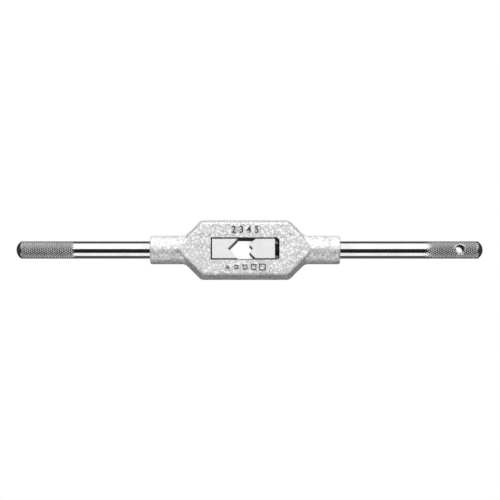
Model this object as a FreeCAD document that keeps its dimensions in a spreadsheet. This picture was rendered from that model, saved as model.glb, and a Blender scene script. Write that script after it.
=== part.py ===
"""Adjustable tap wrench of the DIN 1814 pattern, size 1, for taps M1 to M10.

The origin is the tap's own axis with the jaws at rest.  +X runs along the
wrench towards the adjusting handle, +Y across it, and +Z out of the marked
face.  All sizes are millimetres.
"""
import math
import os

import FreeCAD
import Part
import Sketcher

# The driving sizes: alias, value, meaning.
SIZES = (
    ("thread_size", 6.0, "outside diameter of the screw, M6"),
    ("thread_pitch", 1.0, "advance of the screw in one turn"),
    ("thread_play", 0.05, "radial gap between the screw and its hole"),
    ("shank_step", 0.7, "shank diameter above the screw's"),
    ("shank_play", 0.1, "radial gap between the adjusting shank and its boss"),
    ("boss_wall", 2.15, "boss wall around the shank"),
    ("boss_reach", 13.4, "bare length of a boss beyond the plate"),
    ("boss_round", 0.5, "rounding of a boss's end"),
    ("face_rise", 0.6, "flat face above the crest of the bosses"),
    ("plate_margin", 4.1, "straight long edge beyond the window's end"),
    ("side_wall", 7.6, "plate outside the window at mid thickness"),
    ("side_draft", 15.0, "lean of the plate's sides, degrees"),
    ("corner_round", 2.5, "rounding of the plate's four corners"),
    ("edge_round", 0.9, "rounding of the flat faces' edges"),
    ("ridge_round", 1.0, "rounding of the plate's sides at mid thickness"),
    ("root_round", 3.5, "hollow where the plate's shoulders meet a boss"),
    ("root_lean", 30.0, "lean of the hollows' walls, degrees"),
    ("window_round", 1.1, "corner radius at the window's screw end"),
    ("window_lip", 0.25, "bevel around the window's mouths"),
    ("jaw_wall", 1.65, "jaw steel on each side of the tip's bore"),
    ("jaw_play", 0.12, "gap between a jaw and the window's long walls"),
    ("jaw_drop", 0.1, "jaw faces below the plate's flat faces"),
    ("jaw_bevel", 0.2, "bevel on the jaws' long edges"),
    ("back_bevel", 0.25, "bevel of the movable jaw's back corners"),
    ("corner_margin", 0.15, "back corners to the window's rounding, fully open"),
    ("opening_diagonal", 9.6, "square opening across corners, at rest"),
    ("closed_gap", 0.1, "gap along the wrench between the closed jaws"),
    ("opening_travel", 0.9, "travel from rest to fully open"),
    ("nose_height", 2.9, "height of the movable jaw's small V"),
    ("vee_land", 0.3, "flat at the tips of the fixed jaw's V"),
    ("fixed_jaw_web", 6.35, "fixed jaw from the bottom of its V to its back"),
    ("fixed_apex_wall", 2.35, "fixed jaw between its V and its bore"),
    ("movable_jaw_web", 8.4, "movable jaw from the bottom of its V to its back"),
    ("movable_apex_wall", 2.7, "movable jaw between its V and its bore"),
    ("tip_play", 0.05, "radial gap between the screw's tip and the jaw"),
    ("tip_float", 0.1, "end float of the tip in the jaw's bore"),
    ("pin_size", 1.5, "diameter of the two pins beside the tip's groove"),
    ("pin_play", 0.05, "gap between a pin and the bottom of the groove"),
    ("pin_roof", 2.0, "jaw left above the blind ends of the pin holes"),
    ("shank_engagement", 4.6, "shank inside the adjusting boss at rest"),
    ("shoulder_gap", 0.8, "shank's shoulder to the counterbore when closed"),
    ("shank_bevel", 0.3, "bevel of the shanks' shoulders"),
    ("fixed_shank", 29.9, "smooth length of the fixed handle outside its boss"),
    ("adjusting_shank", 33.3, "smooth length of the adjusting handle outside"),
    ("knurl_length", 20.0, "length of each knurled grip"),
    ("dome_height", 1.9, "height of a handle's domed end"),
    ("tommy_hole_size", 3.2, "cross hole for a tommy bar"),
    ("tommy_hole_setback", 9.05, "cross hole from the handle's end"),
    ("tommy_hole_lean", 5.0, "cross hole's lean about the handle, degrees"),
    ("tommy_hole_bevel", 0.35, "bevel of the cross hole's mouths"),
    ("mark_height", 0.2, "height of the raised marks"),
    ("mark_line", 0.32, "line width of the raised marks"),
    ("mark_pitch", 3.3, "spacing of the raised marks"),
    ("mark_smallest", 1.1, "side of the smallest raised square"),
    ("mark_growth", 0.35, "how much each raised square outgrows the last"),
)

# Sizes that follow from the driving ones: alias, formula.
PLACES = (
    ("shank_radius", "(Sizes.thread_size + Sizes.shank_step) / 2"),
    ("thread_radius", "Sizes.thread_size / 2"),
    ("root_radius", "thread_radius - 0.613 * Sizes.thread_pitch"),
    ("tip_radius", "thread_radius - 0.8 * Sizes.thread_pitch"),
    ("groove_radius", "tip_radius * 0.68"),
    ("spigot_radius", "thread_radius - 0.5"),
    ("boss_radius", "shank_radius + Sizes.boss_wall"),
    ("half_thickness", "boss_radius + Sizes.face_rise"),
    ("jaw_half_width", "tip_radius + Sizes.tip_play + Sizes.jaw_wall"),
    ("jaw_thickness", "2 * (half_thickness - Sizes.jaw_drop)"),
    ("window_half_width", "jaw_half_width + Sizes.jaw_play"),
    ("plate_half_width", "window_half_width + Sizes.side_wall"),
    ("nose_half", "Sizes.nose_height / 2"),
    ("corner_reach",
     "sqrt(Sizes.window_round ^ 2 - (Sizes.window_round - Sizes.jaw_play) ^ 2)"),
    ("jaw_gap",
     "Sizes.opening_travel + Sizes.window_round - corner_reach"
     " - Sizes.back_bevel + Sizes.corner_margin"),
    ("apex_reach", "Sizes.opening_diagonal / 2"),
    ("closing_travel",
     "Sizes.opening_diagonal - Sizes.nose_height - Sizes.closed_gap"),
    ("window_left", "0 - apex_reach - Sizes.fixed_jaw_web"),
    ("window_right", "apex_reach + Sizes.movable_jaw_web + jaw_gap"),
    ("window_half_length", "(window_right - window_left) / 2"),
    ("window_middle", "(window_right + window_left) / 2"),
    ("plate_straight", "window_half_length + Sizes.plate_margin"),
    ("plate_point", "plate_straight + plate_half_width"),
    ("root_start", "plate_point - boss_radius"),
    ("root_middle", "root_start + Sizes.root_round * (sqrt(2) - 1)"),
    ("root_touch", "root_middle - Sizes.root_round / sqrt(2)"),
    ("root_touch_up", "plate_point - root_touch"),
    ("root_height", "boss_radius * 0.8"),
    ("boss_end", "root_start + Sizes.boss_reach"),
    ("end_wall", "boss_end - window_half_length"),
    ("counterbore_radius", "shank_radius + Sizes.shank_play"),
    ("counterbore_depth",
     "Sizes.shank_engagement + closing_travel + Sizes.shoulder_gap"),
    ("fixed_seat_depth", "end_wall / 2"),
    ("spigot_engagement", "Sizes.fixed_jaw_web - Sizes.fixed_apex_wall"),
    ("spigot_length",
     "end_wall - fixed_seat_depth + spigot_engagement"),
    ("tip_bore_depth", "Sizes.movable_jaw_web - Sizes.movable_apex_wall"),
    ("pin_setback", "tip_bore_depth * 0.56"),
    ("pin_reach",
     "groove_radius + Sizes.pin_play + Sizes.pin_size / 2"),
    ("pin_length", "jaw_thickness - Sizes.pin_roof - 0.1"),
    ("groove_half_width", "Sizes.pin_size / 2 + 0.1"),
    ("screw_length",
     "end_wall - Sizes.shank_engagement + jaw_gap + tip_bore_depth"
     " - Sizes.tip_float"),
    ("neck_length", "tip_bore_depth - Sizes.tip_float + jaw_gap - 0.3"),
    ("relief_length", "1.5 * Sizes.thread_pitch"),
    ("grip_start", "Sizes.shank_engagement + Sizes.adjusting_shank"),
    ("grip_end", "grip_start + Sizes.knurl_length"),
    ("adjusting_end", "grip_end + Sizes.dome_height"),
    ("fixed_grip_end", "Sizes.fixed_shank + Sizes.knurl_length"),
    ("fixed_end", "fixed_grip_end + Sizes.dome_height"),
    ("dome_radius",
     "(shank_radius ^ 2 + Sizes.dome_height ^ 2) / (2 * Sizes.dome_height)"),
    ("mark_row", "window_half_width + Sizes.side_wall * 0.4"),
)

MARK_COUNT = 5


def add_sheet(doc, name, rows):
    """Adds a sheet with one aliased value per row."""
    sheet = doc.addObject("Spreadsheet::Sheet", name)
    for number, row in enumerate(rows, start=1):
        alias, value = row[0], row[1]
        sheet.set(f"A{number}", alias)
        content = f"={value}" if isinstance(value, str) else str(value)
        sheet.set(f"B{number}", content)
        sheet.setAlias(f"B{number}", alias)
        if len(row) > 2:
            sheet.set(f"C{number}", row[2])
    doc.recompute()
    return sheet


def value_of(holder, formula):
    """Returns a formula's present value as a plain number."""
    result = holder.evalExpression(formula)
    return float(getattr(result, "Value", result))


def add_body(doc, name, place=None):
    """Adds a body; place maps X, Y or Z of its position to a formula."""
    body = doc.addObject("PartDesign::Body", name)
    body.Label = name
    for axis, formula in (place or {}).items():
        body.setExpression(f"Placement.Base.{axis}", formula)
    return body


def add_sketch(body, name, role):
    """Adds a sketch on one of the body's own base planes."""
    planes = [f for f in body.Origin.OriginFeatures if f.Role == role]
    sketch = body.newObject("Sketcher::SketchObject", name)
    sketch.AttachmentSupport = [(planes[0], "")]
    sketch.MapMode = "FlatFace"
    return sketch


def bind_coordinate(sketch, kind, geometry, end, formula):
    """Ties one coordinate of a point to a formula."""
    if formula == "0":
        axis = -1 if kind == "DistanceY" else -2
        sketch.addConstraint(
            Sketcher.Constraint("PointOnObject", geometry, end, axis))
        return
    number = sketch.addConstraint(Sketcher.Constraint(
        kind, -1, 1, geometry, end, value_of(sketch, formula)))
    sketch.setExpression(f"Constraints[{number}]", formula)


def add_arc(sketch, start, finish, centre):
    """Adds the shorter arc from start to finish; returns it and its ends."""
    radius = math.hypot(start[0] - centre[0], start[1] - centre[1])
    begin, end = (
        math.atan2(point[1] - centre[1], point[0] - centre[0])
        for point in (start, finish))
    swapped = (end - begin) % (2 * math.pi) > math.pi
    if swapped:
        begin, end = end, begin
    circle = Part.Circle(
        FreeCAD.Vector(*centre, 0), FreeCAD.Vector(0, 0, 1), radius)
    number = sketch.addGeometry(Part.ArcOfCircle(circle, begin, end), False)
    return (number, 2, 1) if swapped else (number, 1, 2)


def add_outline(sketch, corners, arcs=None):
    """Draws a closed outline through corners given as formula pairs.

    arcs maps a corner's number to the centre of the arc that follows it;
    every other side is straight.
    """
    points = [(value_of(sketch, across), value_of(sketch, up))
              for across, up in corners]
    sides = []
    for number, start in enumerate(points):
        finish = points[(number + 1) % len(points)]
        if arcs and number in arcs:
            centre = [value_of(sketch, place) for place in arcs[number]]
            sides.append(add_arc(sketch, start, finish, centre))
            continue
        line = Part.LineSegment(
            FreeCAD.Vector(*start, 0), FreeCAD.Vector(*finish, 0))
        sides.append((sketch.addGeometry(line, False), 1, 2))
    for number, (geometry, begin, _) in enumerate(sides):
        before, _, end = sides[number - 1]
        sketch.addConstraint(
            Sketcher.Constraint("Coincident", before, end, geometry, begin))
    for (geometry, begin, _), (across, up) in zip(sides, corners):
        bind_coordinate(sketch, "DistanceX", geometry, begin, across)
        bind_coordinate(sketch, "DistanceY", geometry, begin, up)
    for number, centre in (arcs or {}).items():
        bind_coordinate(sketch, "DistanceX", sides[number][0], 3, centre[0])


def add_circle(sketch, across, up, radius):
    """Draws a circle whose place and radius are formulas."""
    centre = FreeCAD.Vector(
        value_of(sketch, across), value_of(sketch, up), 0)
    size = value_of(sketch, radius)
    circle = Part.Circle(centre, FreeCAD.Vector(0, 0, 1), size)
    number = sketch.addGeometry(circle, False)
    bind_coordinate(sketch, "DistanceX", number, 3, across)
    bind_coordinate(sketch, "DistanceY", number, 3, up)
    tie = sketch.addConstraint(
        Sketcher.Constraint("Radius", number, size))
    sketch.setExpression(f"Constraints[{tie}]", radius)


def mirrored(corners):
    """Completes the upper half of an outline with its mirror image."""
    lower = [(across, "0" if up == "0" else f"0 - ({up})")
             for across, up in reversed(corners)]
    return corners + [pair for pair in lower if pair[1] != "0"]


def add_extrusion(body, kind, name, sketch, length=None, both=False):
    """Adds a pad or pocket of a sketch; no length cuts through all."""
    feature = body.newObject(f"PartDesign::{kind}", name)
    feature.Profile = sketch
    if both:
        feature.SideType = "Symmetric"
    if length is None:
        feature.Type = "ThroughAll"
    else:
        feature.setExpression("Length", length)
    sketch.Visibility = False
    return feature


def add_turning(body, kind, name, sketch):
    """Adds a full revolution or groove about the sketch's X axis."""
    feature = body.newObject(f"PartDesign::{kind}", name)
    feature.Profile = sketch
    feature.ReferenceAxis = (sketch, ["H_Axis"])
    feature.Angle = 360.0
    sketch.Visibility = False
    return feature


def add_edge_finish(body, kind, name, size, wanted):
    """Rounds or bevels every edge of the body's tip that is wanted."""
    base = body.Tip
    names = [f"Edge{number}"
             for number, edge in enumerate(base.Shape.Edges, start=1)
             if wanted(edge)]
    if not names:
        raise ValueError(f"{name} finds no edge")
    feature = body.newObject(f"PartDesign::{kind}", name)
    feature.Base = (base, names)
    feature.setExpression("Radius" if kind == "Fillet" else "Size", size)
    return feature


def lies_at(edge, axis, level, tolerance=0.02):
    """Tells whether a whole edge lies in one plane across an axis."""
    box = edge.BoundBox
    low = getattr(box, f"{axis}Min")
    high = getattr(box, f"{axis}Max")
    return abs(low - level) < tolerance and abs(high - level) < tolerance


def plate_outline():
    """Returns the upper half of the six-sided plate's outline."""
    return [
        ("0 - Places.plate_point", "0"),
        ("0 - Places.plate_straight", "Places.plate_half_width"),
        ("Places.plate_straight", "Places.plate_half_width"),
        ("Places.plate_point", "0"),
    ]


def add_plate(body, doc):
    """Adds the drafted plate as two halves that lean in from the middle."""
    sketch = add_sketch(body, "plate_outline", "XY_Plane")
    add_outline(sketch, mirrored(plate_outline()))
    for side in ("upper", "lower"):
        half = add_extrusion(
            body, "Pad", f"{side}_plate", sketch, "Places.half_thickness")
        half.Reversed = side == "lower"
        half.setExpression("TaperAngle", "0 - Sizes.side_draft")
    doc.recompute()


def add_bosses(body, doc):
    """Adds the round bar that shows as the two end bosses."""
    sketch = add_sketch(body, "boss_profile", "XZ_Plane")
    add_outline(sketch, [
        ("0 - Places.boss_end", "0"),
        ("0 - Places.boss_end", "Places.boss_radius"),
        ("Places.boss_end", "Places.boss_radius"),
        ("Places.boss_end", "0"),
    ])
    add_turning(body, "Revolution", "bosses", sketch)
    doc.recompute()


def round_plate(body, doc, places):
    """Rounds the plate's four corners, its flat faces' rims and its ridge."""
    high = places.half_thickness

    def is_corner(edge):
        box = edge.BoundBox
        upright = box.ZLength > high * 0.9
        return upright and min(abs(box.YMin), abs(box.YMax)) > 0.1

    add_edge_finish(
        body, "Fillet", "plate_corners", "Sizes.corner_round", is_corner)
    doc.recompute()
    add_edge_finish(
        body, "Fillet", "face_rims", "Sizes.edge_round",
        lambda edge: lies_at(edge, "Z", high) or lies_at(edge, "Z", -high))
    doc.recompute()
    add_edge_finish(
        body, "Fillet", "side_ridge", "Sizes.ridge_round",
        lambda edge: lies_at(edge, "Z", 0))
    doc.recompute()


def fill_shoulder_roots(body, doc):
    """Adds the hollow roots where the shoulders run into the bosses."""
    for side, sign in (("left", "0 - "), ("right", "")):
        sketch = add_sketch(body, f"{side}_root_outline", "XY_Plane")
        inner = f"{sign}Places.plate_straight"
        touch = f"{sign}Places.root_touch"
        outer = f"{sign}Places.root_middle"
        centre = "Places.boss_radius + Sizes.root_round"
        corners = mirrored([
            (inner, "Places.root_touch_up"),
            (touch, "Places.root_touch_up"),
            (outer, "Places.boss_radius"),
        ])
        add_outline(sketch, corners, {
            1: (outer, centre),
            3: (outer, f"0 - ({centre})"),
        })
        for half in ("upper", "lower"):
            root = add_extrusion(
                body, "Pad", f"{side}_{half}_root", sketch,
                "Places.root_height")
            root.Reversed = half == "lower"
            root.setExpression("TaperAngle", "0 - Sizes.root_lean")
    doc.recompute()


def cut_window(body, doc, places):
    """Cuts the jaws' window and rounds its corners at the screw end."""
    sketch = add_sketch(body, "window_outline", "XY_Plane")
    add_outline(sketch, mirrored([
        ("0 - Places.window_half_length", "Places.window_half_width"),
        ("Places.window_half_length", "Places.window_half_width"),
    ]))
    add_extrusion(body, "Pocket", "window", sketch, both=True)
    doc.recompute()
    add_edge_finish(
        body, "Fillet", "window_corners", "Sizes.window_round",
        lambda edge: lies_at(edge, "X", places.window_half_length)
        and lies_at(edge, "Y", math.copysign(
            places.window_half_width, edge.BoundBox.YMax)))
    doc.recompute()


def bore_bosses(body, doc):
    """Bores the press seat on one side and the screw hole on the other."""
    seat = add_sketch(body, "fixed_seat_profile", "XZ_Plane")
    add_outline(seat, [
        ("0 - Places.boss_end", "0"),
        ("0 - Places.boss_end", "Places.shank_radius"),
        ("Places.fixed_seat_depth - Places.boss_end", "Places.shank_radius"),
        ("Places.fixed_seat_depth - Places.boss_end", "Places.spigot_radius"),
        ("0.5 - Places.window_half_length", "Places.spigot_radius"),
        ("0.5 - Places.window_half_length", "0"),
    ])
    add_turning(body, "Groove", "fixed_seat", seat)
    screw = add_sketch(body, "screw_hole_profile", "XZ_Plane")
    hole = "Places.thread_radius + Sizes.thread_play"
    add_outline(screw, [
        ("Places.window_half_length - 0.5", "0"),
        ("Places.window_half_length - 0.5", hole),
        ("Places.boss_end - Places.counterbore_depth", hole),
        ("Places.boss_end - Places.counterbore_depth",
         "Places.counterbore_radius"),
        ("Places.boss_end", "Places.counterbore_radius"),
        ("Places.boss_end", "0"),
    ])
    add_turning(body, "Groove", "screw_hole", screw)
    doc.recompute()


def finish_casting_edges(body, doc, places):
    """Bevels the window's mouths and rounds the bosses' ends."""
    high = places.half_thickness
    window = (places.window_half_length, places.window_half_width)

    def is_lip(edge):
        box = edge.BoundBox
        inside = max(abs(box.XMin), abs(box.XMax)) < window[0] + 0.05 and \
            max(abs(box.YMin), abs(box.YMax)) < window[1] + 0.05
        return inside and (
            lies_at(edge, "Z", high) or lies_at(edge, "Z", -high))

    add_edge_finish(body, "Chamfer", "window_lips", "Sizes.window_lip", is_lip)
    doc.recompute()
    reach = places.boss_end
    rim = places.boss_radius
    add_edge_finish(
        body, "Fillet", "boss_ends", "Sizes.boss_round",
        lambda edge: (lies_at(edge, "X", reach) or lies_at(edge, "X", -reach))
        and abs(edge.BoundBox.YLength - 2 * rim) < 0.1)
    doc.recompute()


def add_marks(body, doc):
    """Raises a row of square outlines, each larger than the last."""
    sketch = add_sketch(body, "marks_outline", "XY_Plane")
    for number in range(MARK_COUNT):
        across = f"{number - (MARK_COUNT - 1) / 2} * Sizes.mark_pitch"
        outer = (f"(Sizes.mark_smallest + {number} * Sizes.mark_growth) / 2")
        for half in (outer, f"{outer} - Sizes.mark_line"):
            add_outline(sketch, [
                (f"{across} - ({half})", f"0 - Places.mark_row - ({half})"),
                (f"{across} + {half}", f"0 - Places.mark_row - ({half})"),
                (f"{across} + {half}", f"{half} - Places.mark_row"),
                (f"{across} - ({half})", f"{half} - Places.mark_row"),
            ])
    add_extrusion(
        body, "Pad", "raised_marks", sketch,
        "Places.half_thickness + Sizes.mark_height")
    doc.recompute()


def make_frame(doc, places):
    """Models the die-cast frame about the middle of its window."""
    body = add_body(doc, "frame_casting", {"x": "Places.window_middle"})
    add_plate(body, doc)
    round_plate(body, doc, places)
    fill_shoulder_roots(body, doc)
    add_bosses(body, doc)
    cut_window(body, doc, places)
    bore_bosses(body, doc)
    finish_casting_edges(body, doc, places)
    add_marks(body, doc)
    return body


def bevel_long_edges(body, doc, places):
    """Bevels a jaw's flat faces all the way around."""
    level = places.jaw_thickness / 2
    add_edge_finish(
        body, "Chamfer", "long_bevels", "Sizes.jaw_bevel",
        lambda edge: lies_at(edge, "Z", level) or lies_at(edge, "Z", -level))
    doc.recompute()


def make_fixed_jaw(doc, places):
    """Models the fixed jaw about the bottom of its full-height V."""
    body = add_body(doc, "fixed_jaw", {"x": "0 - Places.apex_reach"})
    sketch = add_sketch(body, "fixed_jaw_outline", "XY_Plane")
    land = "Places.jaw_half_width - Sizes.vee_land"
    add_outline(sketch, mirrored([
        ("0 - Sizes.fixed_jaw_web", "Places.jaw_half_width"),
        (land, "Places.jaw_half_width"),
        (land, land),
        ("0", "0"),
    ]))
    add_extrusion(
        body, "Pad", "fixed_jaw_block", sketch, "Places.jaw_thickness", True)
    doc.recompute()
    bevel_long_edges(body, doc, places)
    bore = add_sketch(body, "spigot_bore_profile", "XZ_Plane")
    bottom = "Places.spigot_engagement - Sizes.fixed_jaw_web"
    add_outline(bore, [
        ("0 - Sizes.fixed_jaw_web", "0"),
        ("0 - Sizes.fixed_jaw_web", "Places.spigot_radius"),
        (bottom, "Places.spigot_radius"),
        (bottom, "0"),
    ])
    add_turning(body, "Groove", "spigot_bore", bore)
    doc.recompute()
    return body


def make_movable_jaw(doc, places):
    """Models the movable jaw about the bottom of its small V."""
    body = add_body(doc, "movable_jaw", {"x": "Places.apex_reach"})
    sketch = add_sketch(body, "movable_jaw_outline", "XY_Plane")
    add_outline(sketch, mirrored([
        ("0", "0"),
        ("0 - Places.nose_half", "Places.nose_half"),
        ("Places.jaw_half_width - 2 * Places.nose_half",
         "Places.jaw_half_width"),
        ("Sizes.movable_jaw_web - Sizes.back_bevel",
         "Places.jaw_half_width"),
        ("Sizes.movable_jaw_web",
         "Places.jaw_half_width - Sizes.back_bevel"),
    ]))
    add_extrusion(
        body, "Pad", "movable_jaw_block", sketch, "Places.jaw_thickness", True)
    doc.recompute()
    bevel_long_edges(body, doc, places)
    bore = add_sketch(body, "tip_bore_profile", "XZ_Plane")
    radius = "Places.tip_radius + Sizes.tip_play"
    add_outline(bore, [
        ("Sizes.movable_apex_wall", "0"),
        ("Sizes.movable_apex_wall", radius),
        ("Sizes.movable_jaw_web", radius),
        ("Sizes.movable_jaw_web", "0"),
    ])
    add_turning(body, "Groove", "tip_bore", bore)
    holes = add_sketch(body, "pin_hole_outline", "XY_Plane")
    across = "Sizes.movable_jaw_web - Places.pin_setback"
    add_circle(holes, across, "Places.pin_reach", "Sizes.pin_size / 2")
    add_circle(holes, across, "0 - Places.pin_reach", "Sizes.pin_size / 2")
    drill = add_extrusion(
        body, "Pocket", "pin_holes", holes, "Places.jaw_thickness / 2")
    drill.SideType = "Two sides"
    drill.Type2 = "Length"
    drill.setExpression(
        "Length2", "Places.jaw_thickness / 2 - Sizes.pin_roof")
    doc.recompute()
    return body


def make_fixed_handle(doc):
    """Models the fixed handle about its boss's mouth, knurl towards -X."""
    body = add_body(
        doc, "fixed_handle", {"x": "Places.window_middle - Places.boss_end"})
    sketch = add_sketch(body, "fixed_handle_profile", "XZ_Plane")
    bevel = "Sizes.shank_bevel"
    shoulder = "Places.fixed_seat_depth"
    point = "Places.fixed_seat_depth + Places.spigot_length"
    add_outline(sketch, [
        ("0 - Places.fixed_end", "0"),
        (f"{point}", "0"),
        (f"{point}", f"Places.spigot_radius - {bevel}"),
        (f"{point} - {bevel}", "Places.spigot_radius"),
        (shoulder, "Places.spigot_radius"),
        (shoulder, f"Places.shank_radius - {bevel}"),
        (f"{shoulder} - {bevel}", "Places.shank_radius"),
        ("0 - Places.fixed_grip_end", "Places.shank_radius"),
    ], {7: ("Places.dome_radius - Places.fixed_end", "0")})
    add_turning(body, "Revolution", "fixed_handle_turning", sketch)
    doc.recompute()
    return body


def cut_thread(body, doc):
    """Cuts the M6 thread from the shoulder's relief out past the neck."""
    sketch = add_sketch(body, "thread_profile", "XZ_Plane")
    start = "0 - Places.relief_length / 2"
    crest = "0.4548 * Sizes.thread_pitch"
    root = "0.0837 * Sizes.thread_pitch"
    outside = "Places.thread_radius + 0.03 * Sizes.thread_pitch"
    add_outline(sketch, [
        (f"{start} - {crest}", outside),
        (f"{start} - {root}", "Places.root_radius"),
        (f"{start} + {root}", "Places.root_radius"),
        (f"{start} + {crest}", outside),
    ])
    thread = body.newObject("PartDesign::SubtractiveHelix", "thread")
    thread.Profile = sketch
    thread.ReferenceAxis = (sketch, ["H_Axis"])
    thread.Mode = "pitch-height-angle"
    thread.setExpression("Pitch", "Sizes.thread_pitch")
    thread.setExpression(
        "Height",
        "Places.screw_length - Places.neck_length"
        " - Places.relief_length / 2 + Sizes.thread_pitch")
    thread.Reversed = True
    sketch.Visibility = False
    doc.recompute()


def cut_tommy_hole(body, doc, places):
    """Cuts the cross hole for a tommy bar and bevels its mouths."""
    sketch = add_sketch(body, "tommy_hole_outline", "XY_Plane")
    lean = "Sizes.tommy_hole_lean"
    sketch.setExpression("AttachmentOffset.Rotation.Axis.x", "1")
    sketch.setExpression("AttachmentOffset.Rotation.Axis.z", "0")
    sketch.setExpression("AttachmentOffset.Rotation.Angle", f"0 - {lean}")
    across = "Places.adjusting_end - Sizes.tommy_hole_setback"
    add_circle(sketch, across, "0", "Sizes.tommy_hole_size / 2")
    add_extrusion(body, "Pocket", "tommy_hole", sketch, both=True)
    doc.recompute()
    centre = value_of(sketch, across)
    reach = value_of(sketch, "Sizes.tommy_hole_size / 2")

    def is_mouth(edge):
        box = edge.BoundBox
        spans = box.XLength > 1.9 * reach and box.YLength > 1.8 * reach
        level = max(abs(box.ZMin), abs(box.ZMax))
        near = abs((box.XMin + box.XMax) / 2 - centre) < 0.1
        return spans and near and level > 0.8 * places.shank_radius

    add_edge_finish(
        body, "Chamfer", "tommy_mouths", "Sizes.tommy_hole_bevel", is_mouth)
    doc.recompute()


def make_adjusting_handle(doc, places):
    """Models the adjusting handle about its shoulder, knurl towards +X."""
    body = add_body(
        doc, "adjusting_handle",
        {"x": "Places.window_middle + Places.boss_end"
              " - Sizes.shank_engagement"})
    sketch = add_sketch(body, "adjusting_handle_profile", "XZ_Plane")
    bevel = "Sizes.shank_bevel"
    point = "0 - Places.screw_length"
    groove = f"{point} - Sizes.tip_float + Places.tip_bore_depth" \
        " - Places.pin_setback"
    neck = f"{point} + Places.neck_length"
    relief = "0 - Places.relief_length"
    relief_radius = "Places.root_radius - 0.1"
    add_outline(sketch, [
        ("Places.adjusting_end", "0"),
        (point, "0"),
        (point, f"Places.tip_radius - {bevel}"),
        (f"{point} + {bevel}", "Places.tip_radius"),
        (f"{groove} - Places.groove_half_width", "Places.tip_radius"),
        (f"{groove} - Places.groove_half_width", "Places.groove_radius"),
        (f"{groove} + Places.groove_half_width", "Places.groove_radius"),
        (f"{groove} + Places.groove_half_width", "Places.tip_radius"),
        (neck, "Places.tip_radius"),
        (f"{neck} + Places.thread_radius - Places.tip_radius",
         "Places.thread_radius"),
        (relief, "Places.thread_radius"),
        (relief, relief_radius),
        ("0", relief_radius),
        ("0", f"Places.shank_radius - {bevel}"),
        (bevel, "Places.shank_radius"),
        ("Places.grip_end", "Places.shank_radius"),
    ], {15: ("Places.adjusting_end - Places.dome_radius", "0")})
    add_turning(body, "Revolution", "adjusting_handle_turning", sketch)
    doc.recompute()
    cut_thread(body, doc)
    cut_tommy_hole(body, doc, places)
    return body


def make_pins(doc):
    """Models the two pins that hold the screw's tip in the movable jaw."""
    pins = []
    for side, sign in (("front", ""), ("rear", "0 - ")):
        pin = doc.addObject("Part::Cylinder", f"{side}_pin")
        pin.setExpression("Radius", "Sizes.pin_size / 2")
        pin.setExpression("Height", "Places.pin_length")
        pin.setExpression(
            "Placement.Base.x",
            "Places.apex_reach + Sizes.movable_jaw_web - Places.pin_setback")
        pin.setExpression("Placement.Base.y", f"{sign}Places.pin_reach")
        pin.setExpression("Placement.Base.z", "0 - Places.jaw_thickness / 2")
        pins.append(pin)
    group = doc.addObject("Part::Compound", "jaw_pins")
    group.Label = "jaw_pins"
    group.Links = pins
    doc.recompute()
    return group


def check_document(doc, nodes):
    """Stops on any feature or sub-part that did not come out right."""
    for item in doc.Objects:
        if "Invalid" in item.State or "Error" in item.State:
            raise RuntimeError(f"{item.Label} is in state {item.State}")
    for node in nodes:
        if node.Shape.isNull() or not node.Shape.isValid():
            raise RuntimeError(f"{node.Label} has no valid shape")


def main():
    """Builds every sub-part and writes one STEP file for each."""
    doc = FreeCAD.newDocument("tap_wrench")
    add_sheet(doc, "Sizes", SIZES)
    places = add_sheet(doc, "Places", PLACES)
    nodes = (
        make_frame(doc, places),
        make_fixed_jaw(doc, places),
        make_movable_jaw(doc, places),
        make_fixed_handle(doc),
        make_adjusting_handle(doc, places),
        make_pins(doc),
    )
    doc.recompute()
    check_document(doc, nodes)
    os.makedirs("parts", exist_ok=True)
    for node in nodes:
        node.Shape.exportStep(f"parts/{node.Label}.step")
        print(f"{node.Label}: {node.Shape.Volume:.1f} mm3, "
              f"{len(node.Shape.Solids)} solid(s)")


main()
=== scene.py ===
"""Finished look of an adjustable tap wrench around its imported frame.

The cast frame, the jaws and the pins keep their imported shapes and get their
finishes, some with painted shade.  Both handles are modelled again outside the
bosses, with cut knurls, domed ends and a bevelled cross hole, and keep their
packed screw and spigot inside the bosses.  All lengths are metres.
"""
import logging
import math
from dataclasses import dataclass, field
from enum import Enum, IntEnum
from itertools import pairwise
from typing import Callable, Sequence

import bmesh
import bpy
from mathutils import Matrix, Vector


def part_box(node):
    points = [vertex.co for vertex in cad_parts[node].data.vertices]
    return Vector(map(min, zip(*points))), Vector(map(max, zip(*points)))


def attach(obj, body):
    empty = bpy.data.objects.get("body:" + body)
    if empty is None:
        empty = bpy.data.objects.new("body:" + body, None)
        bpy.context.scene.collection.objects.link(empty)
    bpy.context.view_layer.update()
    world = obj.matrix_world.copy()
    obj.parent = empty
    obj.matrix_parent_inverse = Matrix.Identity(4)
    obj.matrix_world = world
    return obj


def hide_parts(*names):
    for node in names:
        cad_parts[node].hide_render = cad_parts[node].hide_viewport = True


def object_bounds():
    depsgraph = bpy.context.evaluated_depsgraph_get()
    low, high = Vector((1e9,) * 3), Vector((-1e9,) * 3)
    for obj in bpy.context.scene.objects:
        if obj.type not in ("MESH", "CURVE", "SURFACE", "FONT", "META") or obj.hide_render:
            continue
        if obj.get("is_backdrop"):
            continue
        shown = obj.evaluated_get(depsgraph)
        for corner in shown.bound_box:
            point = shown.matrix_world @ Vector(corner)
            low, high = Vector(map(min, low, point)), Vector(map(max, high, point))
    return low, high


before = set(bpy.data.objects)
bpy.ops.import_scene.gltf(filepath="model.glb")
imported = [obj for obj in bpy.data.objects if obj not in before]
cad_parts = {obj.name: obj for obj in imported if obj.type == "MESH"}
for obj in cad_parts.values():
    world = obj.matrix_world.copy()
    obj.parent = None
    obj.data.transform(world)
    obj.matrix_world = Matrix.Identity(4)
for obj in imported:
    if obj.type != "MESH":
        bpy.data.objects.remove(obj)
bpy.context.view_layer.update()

MM = 0.001
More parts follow.
